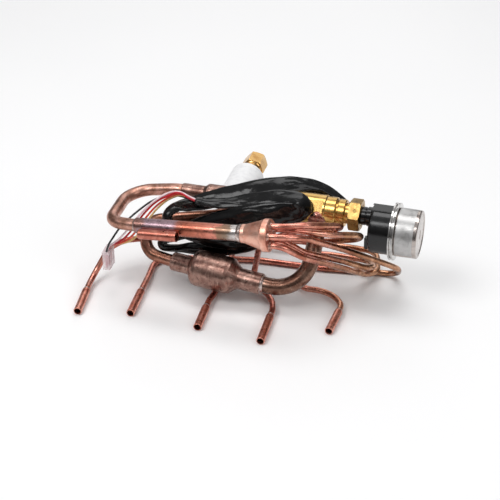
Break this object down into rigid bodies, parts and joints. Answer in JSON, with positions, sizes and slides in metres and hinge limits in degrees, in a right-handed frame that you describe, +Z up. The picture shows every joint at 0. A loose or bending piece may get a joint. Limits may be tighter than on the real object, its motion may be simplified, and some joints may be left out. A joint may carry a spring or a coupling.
{
  "type": "evaporator inlet tube assembly",
  "caption": "Bent copper tube set that feeds an evaporator: motor-driven expansion valve, strainers, and a distributor cone with thin feeder tubes and outlet sockets.",
  "frame": {"origin": "centre of the footprint at the base, measured without the free lead and its plug", "axes": "+X towards the motor can, +Y towards the flare nut at the back, +Z up"},
  "size_m": [0.2554, 0.1858, 0.0911],
  "materials": {
    "distributor_copper": "satin, pink copper",
    "braze_metal": "brazed copper with flux marks",
    "near_tube_copper": "drawn copper with heat tint",
    "u_bend_copper": "drawn copper, browned",
    "strainer_copper": "spun copper, darkened",
    "screen_mesh": "woven wire",
    "pocket_copper": "drawn copper",
    "feeder_copper": "drawn copper",
    "socket_copper": "drawn copper",
    "line_copper": "drawn copper",
    "valve_brass": "turned",
    "flare_brass": "turned",
    "black_plastic": "moulded",
    "can_metal": "drawn cup with plain foil wrap",
    "black_rubber": "moulded",
    "black_sleeve": "soft sleeve",
    "wire_black": "insulated lead",
    "wire_white": "insulated lead",
    "wire_red": "insulated lead",
    "wire_orange": "insulated lead",
    "wire_yellow": "insulated lead",
    "clear_plug": "translucent, moulded",
    "white_foam": "soft foam tube"
  },
  "bodies": {
    "assembly": {"distributor_cone": "distributor_copper", "distributor_braze_ring": "braze_metal", "distributor_inlet_tube": "near_tube_copper", "u_bend_tube": "u_bend_copper", "u_bend_braze_ring": "braze_metal", "rear_strainer_shell": "strainer_copper", "rear_strainer_screen": "screen_mesh", "sensor_pocket": "pocket_copper", "feeder_tube_1": "feeder_copper", "feeder_tube_2": "feeder_copper", "feeder_tube_3": "feeder_copper", "feeder_tube_4": "feeder_copper", "feeder_tube_5": "feeder_copper", "outlet_socket_1": "socket_copper", "outlet_socket_2": "socket_copper", "outlet_socket_3": "socket_copper", "outlet_socket_4": "socket_copper", "outlet_socket_5": "socket_copper", "strainer_shell": "strainer_copper", "strainer_screen": "screen_mesh", "strainer_braze_ring": "braze_metal", "strainer_inlet_tube": "line_copper", "valve_inlet_elbow": "line_copper", "valve_port_collar": "braze_metal", "valve_body": "valve_brass", "valve_lock_nut": "valve_brass", "motor_neck": "black_plastic", "motor_housing": "black_plastic", "motor_flange": "can_metal", "motor_can": "can_metal", "lead_grommet": "black_rubber", "lead_sleeve_start": "black_sleeve", "lead_sleeve_hank": "black_sleeve", "lead_wire_black": "wire_black", "lead_wire_white": "wire_white", "lead_wire_red": "wire_red", "lead_wire_orange": "wire_orange", "lead_wire_yellow": "wire_yellow", "connector_housing": "clear_plug", "liquid_pipe": "feeder_copper", "pipe_reducer": "line_copper", "pipe_insulation": "white_foam"},
    "swivel_nut": {"flare_nut": "flare_brass"}
  },
  "joints": [
    {"name": "flare_nut_swivel", "type": "hinge", "parent": "assembly", "child": "swivel_nut", "pos_m": [-0.02534, 0.08172, 0.0515], "axis": [0.018, 0.9998, 0], "continuous": true}
  ]
}
